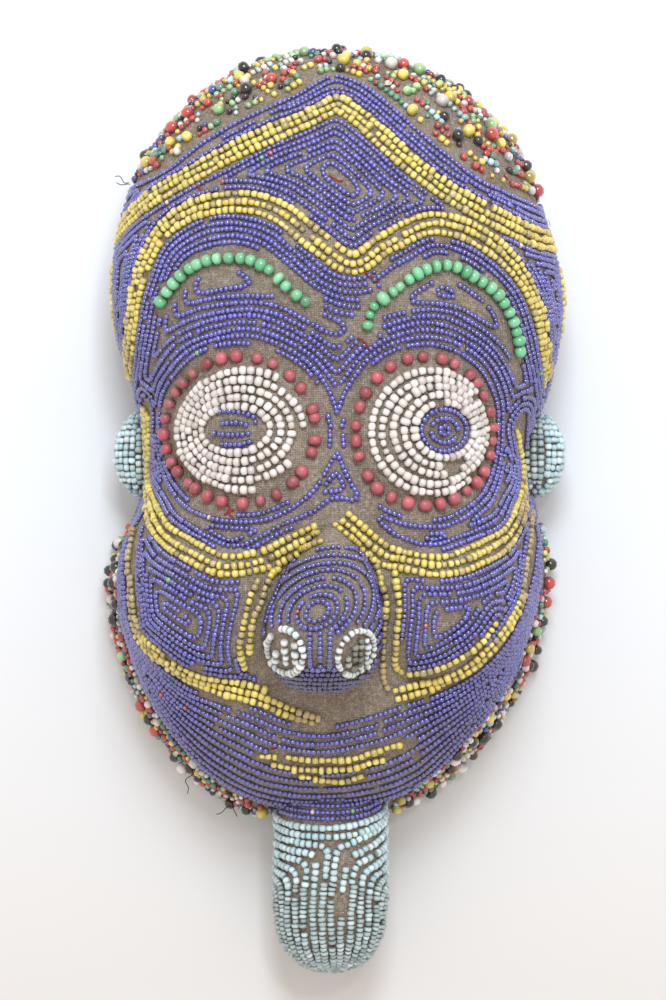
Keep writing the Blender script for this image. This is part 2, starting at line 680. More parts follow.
def nearest(points, targets, block=4000):
    """Distance from each point to the nearest target, with the points taken in blocks."""
    shape = points.shape[:-1]
    flat = points.reshape(-1, 3)
    out = np.empty(len(flat))
    square = (targets**2).sum(1)
    for start in range(0, len(flat), block):
        part = flat[start : start + block]
        gap = (part**2).sum(1)[:, None] + square[None, :] - 2 * part @ targets.T
        out[start : start + block] = np.sqrt(np.maximum(gap.min(1), 0))
    return out.reshape(shape)


def iso_lines(field, level):
    """Lines in grid positions along which the field passes the level, linked from cell to cell."""
    known = np.isfinite(field)
    above = np.where(known, field, 0) > level
    cross0 = (above[1:] != above[:-1]) & known[1:] & known[:-1]
    cross1 = (above[:, 1:] != above[:, :-1]) & known[:, 1:] & known[:, :-1]
    id0 = np.full(cross0.shape, -1)
    id1 = np.full(cross1.shape, -1)
    id0[cross0] = np.arange(cross0.sum())
    id1[cross1] = cross0.sum() + np.arange(cross1.sum())
    i, j = np.nonzero(cross0)
    part0 = (level - field[i, j]) / (field[i + 1, j] - field[i, j])
    k, m = np.nonzero(cross1)
    part1 = (level - field[k, m]) / (field[k, m + 1] - field[k, m])
    spots = np.concatenate([np.stack([i + part0, j], -1), np.stack([k, m + part1], -1)])
    edges = np.stack([id1[:-1], id0[:, 1:], id1[1:], id0[:, :-1]], -1)
    count = (edges >= 0).sum(-1)
    pairs = [np.sort(edges[count == 2], -1)[:, 2:], edges[count == 4][:, :2], edges[count == 4][:, 2:]]
    links = [[] for _ in spots]
    for a, b in np.concatenate(pairs).tolist():
        links[a].append(b)
        links[b].append(a)
    return [spots[line] for line in chains(links)]


def chains(links):
    """Runs of linked items: open ones first, then closed ones, with their first item again at the end."""
    used = [False] * len(links)
    lines = []
    starts = [n for n, near in enumerate(links) if len(near) == 1] + list(range(len(links)))
    for start in starts:
        if used[start] or not links[start]:
            continue
        line, here = [start], start
        used[start] = True
        while True:
            ahead = [n for n in links[here] if not used[n]]
            if not ahead:
                break
            here = ahead[0]
            used[here] = True
            line.append(here)
        if len(line) > 2 and start in links[here]:
            line.append(start)
        lines.append(line)
    return lines


def smoothed(line, passes=3):
    """A line with each inner point moved to the mean of its neighbours and itself."""
    closed = len(line) > 3 and np.allclose(line[0], line[-1])
    for _ in range(passes):
        if closed:
            ring = line[:-1]
            ring = (np.roll(ring, 1, 0) + 2 * ring + np.roll(ring, -1, 0)) / 4
            line = np.vstack([ring, ring[:1]])
        else:
            line = np.vstack([line[:1], (line[:-2] + 2 * line[1:-1] + line[2:]) / 4, line[-1:]])
    return line


def rows_of(chart, field, reach, pitch, step, rng, first=0.5, wobble=0.12, shortest=3):
    """Strings along the lines where the field is first, first + 1, first + 2 and so on times the pitch."""
    size_a, size_b = field.shape
    strings = []
    for k in range(int(np.nanmax(field) / pitch - first) + 1):
        for line in iso_lines(field, (k + first) * pitch):
            if len(line) < 4:
                continue
            closed = np.allclose(line[0], line[-1])
            line = smoothed(line)
            a = line[:, 0] / (size_a - 1) * 2 - 1
            b = line[:, 1] / (size_b - 1) * 2 - 1
            made = string(chart, reach * square_disc(a, b), step, rng, closed, wobble)
            if made is not None and len(made[0]) >= shortest:
                strings.append(made)
    return strings


# Materials

def new_material(name, roughness, specular=0.5):
    """An empty Principled material: its node tree, links and shader."""
    material = bpy.data.materials.new(name)
    material.use_nodes = True
    tree = material.node_tree
    shader = tree.nodes["Principled BSDF"]
    shader.inputs["Roughness"].default_value = roughness
    shader.inputs["Specular IOR Level"].default_value = specular
    return material, tree, shader


def add_node(tree, kind, **values):
    """A node with these socket or property values."""
    node = tree.nodes.new(kind)
    for key, value in values.items():
        if key in node.inputs:
            node.inputs[key].default_value = value
        else:
            setattr(node, key, value)
    return node


def object_noise(tree, scale, detail=4.0, roughness=0.6):
    """Noise over the object's own coordinates, in features per metre."""
    coordinates = add_node(tree, "ShaderNodeTexCoord")
    noise = add_node(tree, "ShaderNodeTexNoise", Scale=scale, Detail=detail, Roughness=roughness)
    tree.links.new(coordinates.outputs["Object"], noise.inputs["Vector"])
    return noise.outputs["Fac"]


def ranged(tree, value, low, high, to_low=0.0, to_high=1.0):
    """The value moved from one range to another."""
    node = add_node(tree, "ShaderNodeMapRange")
    for key, number in (("From Min", low), ("From Max", high), ("To Min", to_low), ("To Max", to_high)):
        node.inputs[key].default_value = number
    tree.links.new(value, node.inputs["Value"])
    return node.outputs["Result"]


def mixed(tree, factor, a, b):
    """A colour mix; a and b are colours or sockets."""
    node = add_node(tree, "ShaderNodeMix", data_type="RGBA")
    for socket, value in ((node.inputs["Factor"], factor), (node.inputs["A"], a), (node.inputs["B"], b)):
        if isinstance(value, bpy.types.NodeSocket):
            tree.links.new(value, socket)
        elif isinstance(value, tuple):
            socket.default_value = (*value, 1)
        else:
            socket.default_value = value
    return node.outputs["Result"]


def times(tree, a, b):
    """Product of two values."""
    node = add_node(tree, "ShaderNodeMath", operation="MULTIPLY")
    for socket, value in zip(node.inputs, (a, b)):
        if isinstance(value, bpy.types.NodeSocket):
            tree.links.new(value, socket)
        else:
            socket.default_value = value
    return node.outputs[0]


COAT_IOR = 1.9
COAT_ROUGHNESS = 0.16
BEAD_GRIME = (0.085, 0.068, 0.058)
BEAD_DUST = (0.33, 0.28, 0.24)


def glass_material(name, roughness, dust, coat):
    """Opaque glass: each bead's colour, darker with grime at its ends and foot, and dusty in patches."""
    material, tree, shader = new_material(name, roughness)
    colour = add_node(tree, "ShaderNodeAttribute", attribute_name="bead_colour").outputs["Color"]
    grime = add_node(tree, "ShaderNodeAttribute", attribute_name="grime").outputs["Fac"]
    colour = mixed(tree, times(tree, grime, 0.72), colour, BEAD_GRIME)
    patches = ranged(tree, object_noise(tree, 60), 0.42, 0.70, 0.25 * dust, dust)
    fine = ranged(tree, object_noise(tree, 900), 0.40, 0.75, 0.45, 1.0)
    colour = mixed(tree, times(tree, patches, fine), colour, BEAD_DUST)
    tree.links.new(colour, shader.inputs["Base Color"])
    shader.inputs["Coat Weight"].default_value = coat
    shader.inputs["Coat IOR"].default_value = COAT_IOR
    shader.inputs["Coat Roughness"].default_value = COAT_ROUGHNESS
    return material


def cloth_material():
    """Coarse brown-grey plain weave, matted with dust: two crossed waves under noise."""
    material, tree, shader = new_material("dusty cloth", 0.95, 0.1)
    stains = ranged(tree, object_noise(tree, 38), 0.35, 0.70)
    colour = mixed(tree, stains, colour_of("cloth_dark"), colour_of("cloth_light"))
    specks = ranged(tree, object_noise(tree, 1100, 4.0, 0.9), 0.38, 0.62)
    dark = mixed(tree, 0.75, colour, (0.080, 0.062, 0.050))
    colour = mixed(tree, times(tree, specks, 0.75), dark, colour)
    dust = ranged(tree, object_noise(tree, 520, 4.0, 0.8), 0.50, 0.68, 0.0, 0.60)
    colour = mixed(tree, dust, colour, (0.62, 0.56, 0.50))
    tree.links.new(colour, shader.inputs["Base Color"])
    coordinates = add_node(tree, "ShaderNodeTexCoord")
    weft = add_node(tree, "ShaderNodeTexWave", Scale=420.0, Distortion=4.0, Detail=3.0)
    warp = add_node(tree, "ShaderNodeTexWave", Scale=420.0, Distortion=4.0, Detail=3.0, bands_direction="Y")
    for wave in (weft, warp):
        tree.links.new(coordinates.outputs["Object"], wave.inputs["Vector"])
    height = times(tree, weft.outputs["Fac"], warp.outputs["Fac"])
    bump_node = add_node(tree, "ShaderNodeBump", Strength=0.8, Distance=0.0006)
    added = add_node(tree, "ShaderNodeMath", operation="ADD")
    tree.links.new(height, added.inputs[0])
    tree.links.new(object_noise(tree, 1500, 3.0, 0.8), added.inputs[1])
    tree.links.new(added.outputs[0], bump_node.inputs["Height"])
    tree.links.new(bump_node.outputs["Normal"], shader.inputs["Normal"])
    return material


def wood_material():
    """Dry carved wood, dark with age: stretched grain and tool hollows."""
    material, tree, shader = new_material("dry wood", 0.75, 0.3)
    coordinates = add_node(tree, "ShaderNodeTexCoord")
    stretch = add_node(tree, "ShaderNodeMapping", Scale=(260.0, 22.0, 260.0))
    grain = add_node(tree, "ShaderNodeTexNoise", Scale=1.0, Detail=6.0, Roughness=0.65)
    tree.links.new(coordinates.outputs["Object"], stretch.inputs["Vector"])
    tree.links.new(stretch.outputs["Vector"], grain.inputs["Vector"])
    bands = ranged(tree, grain.outputs["Fac"], 0.35, 0.68)
    colour = mixed(tree, bands, colour_of("wood_dark"), colour_of("wood_light"))
    worn = ranged(tree, object_noise(tree, 22), 0.45, 0.75, 0.0, 0.7)
    colour = mixed(tree, worn, colour, (0.035, 0.020, 0.012))
    tree.links.new(colour, shader.inputs["Base Color"])
    bump_node = add_node(tree, "ShaderNodeBump", Strength=0.5, Distance=0.0006)
    tree.links.new(grain.outputs["Fac"], bump_node.inputs["Height"])
    tree.links.new(bump_node.outputs["Normal"], shader.inputs["Normal"])
    return material


def plain_material(name, colour, roughness):
    """One colour."""
    material, _, shader = new_material(name, roughness, 0.3)
    shader.inputs["Base Color"].default_value = (*colour, 1)
    return material


def floor_material():
    """Pale paper, a little warmer beside the beard and cooler towards the crown."""
    material, tree, shader = new_material("paper", 0.9, 0.2)
    coordinates = add_node(tree, "ShaderNodeTexCoord")
    parts = add_node(tree, "ShaderNodeSeparateXYZ")
    tree.links.new(coordinates.outputs["Object"], parts.inputs["Vector"])
    low = ranged(tree, parts.outputs["Y"], -0.22, 0.0)
    high = ranged(tree, parts.outputs["Y"], 0.05, 0.23)
    colour = mixed(tree, low, (0.715, 0.690, 0.680), (0.775, 0.795, 0.835))
    tree.links.new(mixed(tree, high, colour, (0.88, 0.88, 0.88)), shader.inputs["Base Color"])
    return material


# Meshes

def add_mesh(name, corners, quads, material, colour=None, grime=None):
    """A smooth mesh from corners in millimetres, which rides on the mask."""
    mesh = bpy.data.meshes.new(name)
    mesh.vertices.add(len(corners))
    mesh.vertices.foreach_set("co", ((corners + SHIFT) / 1000).astype(np.float32).ravel())
    mesh.loops.add(quads.size)
    mesh.loops.foreach_set("vertex_index", quads.astype(np.int32).ravel())
    mesh.polygons.add(len(quads))
    mesh.polygons.foreach_set("loop_start", np.arange(len(quads), dtype=np.int32) * quads.shape[1])
    mesh.polygons.foreach_set("use_smooth", np.ones(len(quads), bool))
    if colour is not None:
        opaque = np.hstack([colour, np.ones((len(colour), 1))])
        layer = mesh.attributes.new("bead_colour", "FLOAT_COLOR", "POINT")
        layer.data.foreach_set("color", opaque.astype(np.float32).ravel())
        layer = mesh.attributes.new("grime", "FLOAT", "POINT")
        layer.data.foreach_set("value", grime.astype(np.float32))
    mesh.update(calc_edges=True)
    mesh.materials.append(material)
    piece = bpy.data.objects.new(name, mesh)
    bpy.context.scene.collection.objects.link(piece)
    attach(piece, "root")
    return piece


def add_beads(name, beads, shape, slot, *nodes):
    """A piece of many beads of one glass that stands for these CAD nodes."""
    corners, quads, colour, grime = bead_mesh(beads, shape)
    piece = add_mesh(name, corners, quads, glass(slot), colour, grime)
    if nodes:
        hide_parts(*nodes)


def sheet_quads(rows, columns):
    """Quads of a grid of rows by columns."""
    i, j = np.meshgrid(np.arange(rows - 1), np.arange(columns - 1), indexing="ij")
    a = (i * columns + j).ravel()
    return np.stack([a, a + columns, a + columns + 1, a + 1], -1)


def border(grid):
    """The entries round the edge of a grid, in order, each once."""
    return np.concatenate([grid[:-1, 0], grid[-1, :-1], grid[:0:-1, -1], grid[0, :0:-1]])


def merged(*parts):
    """Corners and quads of several parts as one."""
    corners, quads, start = [], [], 0
    for part_corners, part_quads in parts:
        flat = part_corners.reshape(-1, 3)
        corners.append(flat)
        quads.append(part_quads + start)
        start += len(flat)
    return np.concatenate(corners), np.concatenate(quads)


# Each slot's glass: name, roughness, dust and coat
GLASS = {
    "blue_glass": ("blue seed beads", 0.18, 0.24, 1.0),
    "yellow_glass": ("yellow beads", 0.30, 0.26, 0.3),
    "white_glass": ("white beads", 0.34, 0.28, 0.10),
    "red_glass": ("red beads", 0.40, 0.42, 0.0),
    "green_glass": ("green beads", 0.28, 0.22, 0.3),
    "pale_blue_glass": ("pale blue beads", 0.32, 0.22, 0.15),
    "mixed_glass": ("assorted beads", 0.16, 0.07, 0.4),
}


def glass(slot):
    """The glass of a slot, made at its first use."""
    name, *values = GLASS[slot]
    return bpy.data.materials.get(name) or glass_material(name, *values)


# Zones of the face

def beyond(line, xy):
    """Whether plan points lie farther from the heart than a line does, within the line's own angles."""
    line_reach, line_angle = polar(spline(line) - HEART)
    order = np.argsort(line_angle)
    reach, angle = polar(xy[..., :2] - HEART)
    limit = np.interp(angle, line_angle[order], line_reach[order])
    return (angle >= line_angle.min()) & (angle <= line_angle.max()) & (reach > limit)


def in_ellipse(xy, shape):
    """Whether plan points lie in an ellipse."""
    x, y, rx, ry = shape
    return ((xy[..., 0] - x) / rx) ** 2 + ((xy[..., 1] - y) / ry) ** 2 < 1


def strand_lines(line, strands, pitch, cuts=None):
    """Chart lines of a band's strands, side by side; cuts are the millimetres left off each one's ends."""
    uv = on_head(spline(line))
    place, up, _, _ = touching(head, uv)
    _, side = directions(place, up, False)
    length = distances(place)
    lines = []
    for k in range(strands):
        moved = carried(head, uv, side * (k - (strands - 1) / 2) * pitch)
        start, end = cuts[k] if cuts else (0.0, 0.0)
        lines.append(moved[(length >= start) & (length <= length[-1] - end)])
    return lines


def band_lines(name, pitch):
    """Chart lines of all the strands of a band."""
    if name in STRANDS:
        return [on_head(spline(line)) for line in STRANDS[name]]
    line, strands, cuts = BANDS[name]
    return strand_lines(line, strands, pitch, cuts)


HEAD_REACH = 1 - (1 - FRONT_SHARE) * CLOTH_EDGE / SIDE_HEIGHT
ROW_GRID = (300, 400)
# How far the blue rows stay from the middle of a strand, of an eye's ring, of the hair's, the jaw's and the
# nose's edge
STRAND_GAP, RING_GAP, HAIR_GAP, EDGE_GAP, NOSE_GAP = 1.5, 5.0, 2.6, 0.6, 2.2
# Each band's line, its number of strands, and the millimetres left off the start and end of each
BANDS = {
    "crown_band": (CROWN_LINE, 3, None),
    "brow_band": (BROW_LINE, 3, None),
    "side_loop_left": (LEFT_LOOP, 2, None),
    "side_loop_right": (RIGHT_LOOP, 2, None),
    "cheek_band_left": (LEFT_CHEEK, 3, None),
    "cheek_band_right": (RIGHT_CHEEK, 3, ((0, 0), (26, 0), (32, 0))),
    "jaw_band_left": (LEFT_JAW, 3, ((0, 2), (27, 0), (45, 26))),
    "jaw_band_right": (RIGHT_JAW, 2, ((0, 0), (50, 0))),
    "jaw_branch_right": (JAW_BRANCH, 1, None),
}
STRANDS = {
    "nose_line_left": LEFT_NOSE_STRANDS,
    "nose_line_right": RIGHT_NOSE_STRANDS,
    "mouth_beads": MOUTH_STRANDS,
}


def laid(line):
    """Places on the head along a plan line."""
    return head(on_head(line))


def lowered(points, share):
    """Points with their heights scaled, so that slopes count for less in a distance."""
    return points * np.array([1.0, 1.0, share])


def accent_gap(points, yellow_pitch):
    """Distance of each point from the nearest accent's own edge, and the same with its corners rounded.

    Slopes count at 0.8. The rounded distance is the sum of all distances to the power -8, to the power
    -1/8.
    """
    lines = [(laid(spline(line)), count * yellow_pitch / 2 - 0.4) for line, count, _ in BANDS.values()]
    lines += [(laid(spline(line)), STRAND_GAP) for strands in STRANDS.values() for line in strands]
    lines += [(laid(ellipse(*shape)), RING_GAP) for shape in (LEFT_RING, RIGHT_RING)]
    lines += [(laid(spline(HAIR_LINE)), HAIR_GAP)]
    lines += [(laid(spline(line)), EDGE_GAP) for line in (LEFT_EDGE, RIGHT_EDGE)]
    a = np.linspace(0, 2 * math.pi, 120)
    foot = np.stack(nose_place(np.cos(a), np.sin(a)), -1)
    lines += [(laid(foot), NOSE_GAP)]
    low = lowered(points, 0.8)
    gap = np.full(points.shape[:-1], 1e3)
    total = np.zeros(points.shape[:-1])
    for places, half in lines:
        one = nearest(low, lowered(places, 0.8)) - half
        gap = np.minimum(gap, one)
        total += np.maximum(one, 0.2) ** -8.0
    return gap, total**-0.125


def on_ground(points):
    """Whether points lie on the blue ground, off the eyes, nose, ears, brows, lip, beard and fringes."""
    x, y, z = points[..., 0], points[..., 1], points[..., 2]
    _, _, inside = nose_inside(x, y)
    off = beyond(HAIR_LINE, points) | beyond(LEFT_EDGE, points) | beyond(RIGHT_EDGE, points)
    off |= in_ellipse(points, LEFT_RING) | in_ellipse(points, RIGHT_RING)
    off |= (inside > -0.12) & (y < 0)
    off |= in_ellipse(points, BARE_LIP)
    off |= (np.abs(x - BEARD_X) < BEARD_RADIUS + 4) & (y < CHIN_Y + 3)
    for cx, cy in EARS.values():
        reach = ((x - cx) / (EAR_REACH + 6)) ** 2 + ((y - cy) / (EAR_HALF_HEIGHT + 3)) ** 2
        off |= reach + ((z - EAR_UP) / (EAR_HALF_DEPTH + 5)) ** 2 < 1
    for line in (LEFT_BROW, RIGHT_BROW):
        off |= nearest(points, laid(spline(line))) < 4.6
    return ~off & (z > CLOTH_EDGE + 2)


def ground_strings(pitch, step, yellow_pitch, rng):
    """Blue strings: round the accents above the jaw bands, and from cheek to cheek below them."""
    points = head(disc_grid(*ROW_GRID, HEAD_REACH))
    gap, rounded = accent_gap(points, yellow_pitch)
    ground = on_ground(points)
    jaw = beyond(JAW_TOP, points)
    x, y = points[..., 0], points[..., 1]
    warp = 0.5 * np.sin(x / 6.1 + np.sin(y / 9)) * np.sin(y / 7.3)
    field = np.where(ground & ~jaw & (gap > 0), rounded + warp, np.nan)
    strings = rows_of(head, field, HEAD_REACH, pitch, step, rng, shortest=5)
    return strings + jaw_strings(points, ground & jaw & (gap > 0.8), step, rng)


def jaw_strings(points, zone, step, rng):
    """Rows at even parts of the way from the jaw's edge to the jaw bands, fewer where that is narrow."""
    edge = np.concatenate([laid(spline(line)) for line in (LEFT_EDGE, CHIN_EDGE, RIGHT_EDGE)])
    bands = laid(spline(JAW_TOP))
    low = lowered(points, JAW_SLOPE)
    near_edge = nearest(low, lowered(edge, JAW_SLOPE))
    near_band = np.maximum(nearest(low, lowered(bands, JAW_SLOPE)) - 4.8, 0)
    part = near_edge / (near_edge + near_band)
    strings = []
    for k in range(JAW_ROWS):
        level = np.clip(np.where(zone, part * JAW_ROWS - k, np.nan), -1, 1.2)
        for place, along, up in rows_of(head, level, HEAD_REACH, 1.0, step, rng, shortest=6):
            share = (nearest(place, edge) + nearest(place, bands) - 4.8) / JAW_ROWS / JAW_ROW
            share = share + 0.07 * math.sin(2.3 * k) + 0.03 * np.sin(place[:, 0] / 3)
            open_here = (share > 0.74) | ((k % 2 == 0) & (share > 0.37)) | (k % 4 == 0)
            if open_here.sum() > 5:
                strings.append((place[open_here], along[open_here], up[open_here]))
    return strings



# Add-on

def sized(name, text, length):
    """A length setting, given in millimetres."""
    return bpy.props.FloatProperty(
        name=name, description=text, default=length / 1000, min=0.0, precision=5, unit="LENGTH",
        subtype="DISTANCE")


class BeadSettings(bpy.types.PropertyGroup):
    """Sizes and spacings of the beads."""
    blue_bead: sized("Blue bead", "Diameter of the seed beads of the ground", 2.6)
    blue_step: sized("Blue spacing", "Spacing of the seed beads along a row", 2.15)
    blue_pitch: sized("Blue rows", "Spacing of the rows of seed beads", 2.85)
    yellow_bead: sized("Yellow bead", "Diameter of the beads of the bands", 3.05)
    yellow_step: sized("Yellow spacing", "Spacing of the yellow beads along a strand", 2.95)
    yellow_pitch: sized("Yellow strands", "Spacing of the strands of a band", 3.85)
    white_bead: sized("White bead", "Diameter of the beads of the eyes", 3.5)
    white_step: sized("White spacing", "Spacing of the white beads along a row", 3.4)
    red_bead: sized("Red bead", "Diameter of the beads round the eyes", 5.5)
    green_bead: sized("Green bead", "Diameter of the beads of the brows", 5.6)
    pale_bead: sized("Pale bead", "Diameter of the pale blue beads", 3.2)
    pale_step: sized("Pale spacing", "Spacing of the pale beads along a strand", 2.9)
    hair_pitch: sized("Hair rows", "Spacing of the rows of the hair", 3.6)
    seed: bpy.props.IntProperty(
        name="Seed", description="Seed of the hand-sewn irregularities", default=11, min=0)


def tinted(name, text, colour):
    """A linear colour setting."""
    return bpy.props.FloatVectorProperty(
        name=name, description=text, default=colour, size=3, min=0.0, max=1.0, subtype="COLOR")


class ColourSettings(bpy.types.PropertyGroup):
    """Shades of the glass, the cloth and the wood."""
    blue_deep: tinted("Blue, deep", "Darker shade of the seed beads", (0.025, 0.026, 0.260))
    blue_light: tinted("Blue, light", "Lighter shade of the seed beads", (0.095, 0.092, 0.550))
    yellow_deep: tinted("Yellow, deep", "Darker shade of the bands", (0.66, 0.50, 0.075))
    yellow_light: tinted("Yellow, light", "Lighter shade of the bands", (0.90, 0.76, 0.20))
    dull_deep: tinted("Faded, deep", "Darker shade of the faded beads of the bands", (0.33, 0.24, 0.09))
    dull_light: tinted("Faded, light", "Lighter shade of the faded beads of the bands", (0.62, 0.49, 0.20))
    white_deep: tinted("White, deep", "Darker shade of the eyes", (0.66, 0.58, 0.54))
    white_light: tinted("White, light", "Lighter shade of the eyes", (0.90, 0.84, 0.81))
    red_deep: tinted("Red, deep", "Darker shade of the rings round the eyes", (0.30, 0.030, 0.050))
    red_light: tinted("Red, light", "Lighter shade of the rings round the eyes", (0.58, 0.105, 0.140))
    green_deep: tinted("Green, deep", "Darker shade of the brows", (0.07, 0.42, 0.18))
    green_light: tinted("Green, light", "Lighter shade of the brows", (0.24, 0.66, 0.36))
    pale_deep: tinted("Pale, deep", "Darker shade of the beard and ears", (0.38, 0.60, 0.66))
    pale_light: tinted("Pale, light", "Lighter shade of the beard and ears", (0.76, 0.90, 0.93))
    grey_deep: tinted("Grey, deep", "Darker shade of the beard's lower strands", (0.27, 0.36, 0.37))
    grey_light: tinted("Grey, light", "Lighter shade of the beard's lower strands", (0.60, 0.72, 0.74))
    dirty_deep: tinted("Dirty, deep", "Darker shade of the beads in a nostril", (0.16, 0.15, 0.12))
    dirty_light: tinted("Dirty, light", "Lighter shade of the beads in a nostril", (0.42, 0.42, 0.37))
    hair_red: tinted("Hair red", "Red of the hair and fringes", (0.52, 0.055, 0.045))
    hair_yellow: tinted("Hair yellow", "Yellow of the hair and fringes", (0.78, 0.60, 0.10))
    hair_white: tinted("Hair white", "White of the hair and fringes", (0.78, 0.72, 0.69))
    hair_black: tinted("Hair black", "Black of the hair and fringes", (0.005, 0.004, 0.005))
    hair_green: tinted("Hair green", "Dark green of the hair and fringes", (0.10, 0.30, 0.18))
    hair_pale_green: tinted("Hair pale green", "Pale green of the hair and fringes", (0.36, 0.58, 0.26))
    hair_pale_blue: tinted("Hair pale blue", "Pale blue of the hair and fringes", (0.42, 0.64, 0.68))
    hair_blue: tinted("Hair blue", "Blue of the hair and fringes", (0.07, 0.09, 0.34))
    cloth_dark: tinted("Cloth, dark", "Stained parts of the cloth", (0.385, 0.305, 0.235))
    cloth_light: tinted("Cloth, light", "Clean parts of the cloth", (0.545, 0.450, 0.360))
    wood_dark: tinted("Wood, dark", "Dark grain of the wood", (0.060, 0.032, 0.016))
    wood_light: tinted("Wood, light", "Light grain of the wood", (0.24, 0.135, 0.066))


def colour_of(name):
    """A colour setting."""
    return tuple(getattr(bpy.context.scene.mask_colours, name))


def shades(name):
    """The darker and the lighter shade of a glass."""
    return colour_of(f"{name}_deep"), colour_of(f"{name}_light")


class StageSettings(bpy.types.PropertyGroup):
    """Camera and light."""
    camera_height: sized("Camera height", "Height of the camera over the floor", 1300)
    camera_forward: sized("Camera place", "How far the camera stands towards the crown", 4.04)
    lens: bpy.props.FloatProperty(
        name="Lens", description="Focal length in millimetres", default=100.4, min=1)
    key_power: bpy.props.FloatProperty(
        name="Key", description="Power of the light beyond the crown", default=9.2, unit="POWER")
    top_power: bpy.props.FloatProperty(
        name="Top", description="Power of the small light that draws the shadow", default=2.5, unit="POWER")
    sky: bpy.props.FloatProperty(
        name="Sky", description="Strength of the light from all round", default=0.92, min=0)


def millimetres(settings, *names):
    """Length settings in millimetres."""
    return [getattr(settings, name) * 1000 for name in names]


def begin(context, step):
    """The bead settings, and the random draws of a step."""
    settings = context.scene.mask_beads
    return settings, np.random.default_rng(settings.seed + step)


class MASK_OT_cloth(bpy.types.Operator):
    """Cloth cover: grids on the charts of head, nose, ears and beard, with a hem turned in at the rim."""
    bl_idname = "mask.cloth"
    bl_label = "Cloth cover"
    bl_options = {"REGISTER", "UNDO"}

    def execute(self, context):
        rows, columns = 190, 260
        chart = disc_grid(rows, columns, HEAD_REACH)
        sheet = head(chart)
        x, y = sheet[..., 0], sheet[..., 1]
        lumps = np.sin(x / 2.3 + 2 * np.sin(y / 7)) * np.sin(y / 2.7 + x / 9)
        sheet[..., 2] += 0.28 * lumps * np.clip((sheet[..., 2] - SIDE_HEIGHT) / 9, 0, 1)
        place, up, _, _ = touching(head, border(chart))
        turned_in = place - up * (CLOTH_THICKNESS + 0.4)
        edge = border(np.arange(rows * columns).reshape(rows, columns))
        inner = rows * columns + np.arange(len(edge))
        hem = np.stack([np.roll(edge, -1), edge, inner, np.roll(inner, -1)], -1)
        hemmed = np.concatenate([sheet.reshape(-1, 3), turned_in])
        parts = [(hemmed, np.concatenate([sheet_quads(rows, columns), hem]))]
        side = 56
        parts.append((nose(disc_grid(side, side, 1.06)), sheet_quads(side, side)))
        for name in EARS:
            uv = strip_grid((-math.pi, math.pi, 41), (0, math.pi, 31))
            parts.append((ear(name)(uv), sheet_quads(41, 31)))
        uv = strip_grid((-math.pi, math.pi, 73), (-22, BEARD_END, 56))
        parts.append((beard(uv), sheet_quads(73, 56)[:, ::-1]))
        corners, quads = merged(*parts)
        piece = add_mesh("cloth", corners, quads, cloth_material())
        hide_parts("cloth_cover")
        return {"FINISHED"}


class MASK_OT_wood(bpy.types.Operator):
    """Carved wood, closed all round: the skin under the cloth, the edge, the flat rim and the hollow.

    The hollow's height is 90 (1 - rho^3.2)^0.42, with shallow scallops left by the tool.
    """
    bl_idname = "mask.wood"
    bl_label = "Carved wood"
    bl_options = {"REGISTER", "UNDO"}

    def execute(self, context):
        angle = np.linspace(0, 2 * math.pi, 361)[:, None]

        def ring(reach, height):
            """Points round the heart at these distances and heights."""
            return np.stack([reach * np.cos(angle), reach * np.sin(angle), height + 0 * reach], -1)

        inner = outline_reach(angle) - jaw_lean(angle) - RIM_WIDTH
        wall = outline_reach(angle) - CLOTH_THICKNESS - 0.6
        depth = SIDE_HEIGHT + FACE_DEPTH - FRONT_WALL
        rho = np.sin(np.linspace(1, 0, 60) * math.pi / 2)[None, :] ** 0.7
        reach = inner * rho
        x, y = reach * np.cos(angle), reach * np.sin(angle)
        scallop = 0.7 * np.sin(x / 4.3 + 2 * np.sin(y / 17)) * np.sin(y / 6.1 + 1.5 * np.sin(x / 13))
        dome = depth * np.maximum(1 - rho**3.2, 0) ** 0.42
        hollow = ring(reach, dome + scallop * np.clip((1 - rho) * 12, 0, 1))
        place, up, _, _ = touching(head, at_angle(np.linspace(0, 0.955, 32)[None, :], angle))
        skin = place - up * (CLOTH_THICKNESS + 1.0) - [*HEART, 0]
        edge = [ring(share * wall, height) for share, height in ((1.0, 7.0), (1.0, 0.8), (0.994, 0.0))]
        edge += [ring(inner + inset, 0.0) for inset in (1.0, 0.0)]
        corners = np.concatenate([skin, *edge, hollow], axis=1)
        corners[..., :2] += HEART
        quads = sheet_quads(*corners.shape[:2])[:, ::-1]
        piece = add_mesh("wood", corners.reshape(-1, 3), quads, wood_material())
        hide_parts("wooden_shell")
        return {"FINISHED"}


class MASK_OT_bands(bpy.types.Operator):
    """Yellow bands: strands of drum-shaped beads side by side along each band's line."""
    bl_idname = "mask.bands"
    bl_label = "Yellow bands"
    bl_options = {"REGISTER", "UNDO"}

    def execute(self, context):
        settings, rng = begin(context, 0)
        size, step, pitch = millimetres(settings, "yellow_bead", "yellow_step", "yellow_pitch")
        bright = between(*shades("yellow"), rng)
        dull = between(*shades("dull"), rng)
        for name in (*BANDS, *STRANDS):
            strings = [string(face, uv, step, rng, wobble=0.25) for uv in band_lines(name, pitch)]
            beads = apart(strung(
                strings, size, step * 0.95, bright, rng, spread=0.13, lift=0.70, missing=0.01, drift=0.12))
            place = beads["place"]
            faded = rng.random(len(place)) < 0.12
            faded |= np.any([in_ellipse(place, spot) for spot in FADED], axis=0)
            beads["colour"] = np.where(faded[:, None], dull(place), beads["colour"])
            add_beads(f"{name}_glass", with_odd(beads), DRUM, "yellow_glass", name)
        return {"FINISHED"}


